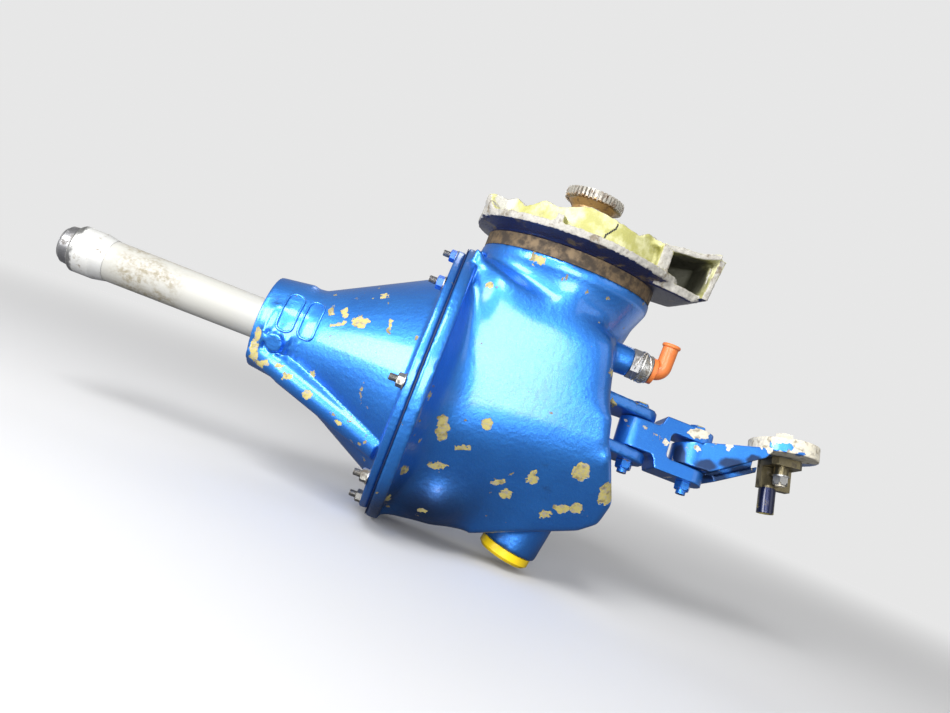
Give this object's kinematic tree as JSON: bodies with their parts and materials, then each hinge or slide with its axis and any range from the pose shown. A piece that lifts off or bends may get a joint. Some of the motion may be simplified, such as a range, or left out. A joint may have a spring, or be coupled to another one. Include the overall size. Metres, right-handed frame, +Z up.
{
  "type": "helicopter tail rotor gearbox quill assembly",
  "caption": "Right-angle tail rotor gearbox with conical output quill and mast, toothed input coupling, torn support ring, idler link and cranked control lever.",
  "frame": {"origin": "centre of the gear case's mounting face, on the input axis", "axes": "+Z up the input axis to the toothed coupling; the mast points along -X and the control lever lies along +X; the gear axes cross 150 mm below the origin"},
  "size_m": [0.7817, 0.28, 0.3781],
  "materials": {
    "blue_paint": "glossy metallic blue, chipped to primer",
    "dark_blue_paint": "dark blue, worn",
    "painted_steel": "painted over with blue",
    "mast_paint": "pale grey, stained",
    "torn_casting": "yellow-green primer, torn edges",
    "bare_casting": "bare, brown and dirty",
    "steel": "plated, dull",
    "gear_steel": "ground, oiled",
    "greasy_steel": "grease and light rust",
    "grey_alloy": "dull grey",
    "knurled_steel": "knurled, dull",
    "cadmium_plate": "gold cadmium plate, worn",
    "primed_steel": "cream primer",
    "bronze": "satin",
    "gasket": "dark sealant",
    "rubber_seal": "black rubber",
    "orange_rubber": "orange silicone",
    "yellow_plastic": "bright yellow"
  },
  "bodies": {
    "gearbox": {"gear_case": "blue_paint", "output_housing": "blue_paint", "flange_gasket": "gasket", "flange_studs": "steel", "flange_washers": "steel", "flange_nuts": "steel", "support_ring": "bare_casting", "support_casting": "torn_casting", "support_studs": "steel", "support_nuts": "steel", "sleeve_bearing_outer": "gear_steel", "hub_bearing_outer": "gear_steel", "mast_seal": "rubber_seal", "mast_seal_ring": "gear_steel", "input_quill_sleeve": "bare_casting", "pinion_bearing_outer": "gear_steel", "input_bearing_outer": "gear_steel", "input_spacer_outer": "gear_steel", "input_seal": "rubber_seal", "detector_adapter": "grey_alloy", "detector_ring": "knurled_steel", "elbow_boot": "orange_rubber", "lug_pin": "painted_steel", "lug_pin_nut": "painted_steel", "lug_bushes": "bronze"},
    "mast": {"mast_tube": "mast_paint", "mast_nose": "grey_alloy", "mast_collar": "mast_paint", "sleeve_bearing_inner": "gear_steel", "sleeve_bearing_rollers": "gear_steel", "hub_bearing_inner": "gear_steel", "hub_bearing_balls": "gear_steel", "output_gear": "gear_steel", "gear_spacer": "gear_steel", "gear_nut": "gear_steel", "mast_bush": "bronze"},
    "input_shaft": {"pinion_shaft": "gear_steel", "pinion_bearing_inner": "gear_steel", "pinion_bearing_rollers": "gear_steel", "input_bearing_inner": "gear_steel", "input_bearing_balls": "gear_steel", "input_spacer_inner": "gear_steel", "input_nut": "gear_steel", "input_coupling": "greasy_steel", "coupling_snap_ring": "gear_steel"},
    "pitch_rod": {"pitch_rod": "gear_steel"},
    "idler_link": {"idler_link": "blue_paint", "link_bushes": "bronze", "fork_pin": "steel", "fork_pin_nut": "steel"},
    "control_lever": {"control_lever": "blue_paint", "lever_bush": "bronze"},
    "swivel_block": {"swivel_block": "cadmium_plate", "eye_bearing": "gear_steel", "eye_bolt": "primed_steel", "eye_nut": "gear_steel", "rod_stub": "dark_blue_paint"},
    "port_cap": {"port_cap": "yellow_plastic"}
  },
  "joints": [
    {"name": "mast_spin", "type": "hinge", "parent": "gearbox", "child": "mast", "pos_m": [0, 0, -0.15], "axis": [1, 0, 0], "continuous": true},
    {"name": "input_spin", "type": "hinge", "parent": "gearbox", "child": "input_shaft", "pos_m": [0, 0, 0], "axis": [0, 0, 1], "continuous": true},
    {"name": "pitch_rod_slide", "type": "slide", "parent": "gearbox", "child": "pitch_rod", "axis": [1, 0, 0], "range_m": [-0.011, 0.011]},
    {"name": "link_swing", "type": "hinge", "parent": "gearbox", "child": "idler_link", "pos_m": [0.122, 0, -0.123], "axis": [0, 0.2588, 0.9659], "range_deg": [-20, 20]},
    {"name": "lever_swing", "type": "hinge", "parent": "idler_link", "child": "control_lever", "pos_m": [0.186, 0, -0.123], "axis": [0, 0.2588, 0.9659], "range_deg": [-25, 25]},
    {"name": "block_swivel", "type": "hinge", "parent": "control_lever", "child": "swivel_block", "pos_m": [0.28, 0.01087, -0.08243], "axis": [-0.1392, 0.2563, 0.9565], "range_deg": [-40, 40]},
    {"name": "cap_pull", "type": "slide", "parent": "gearbox", "child": "port_cap", "axis": [-0.1736, 0, -0.9848], "range_m": [0, 0.02]}
  ],
  "couplings": [
    {"joint": "input_spin", "follows": "mast_spin", "ratio": 2.6}
  ]
}
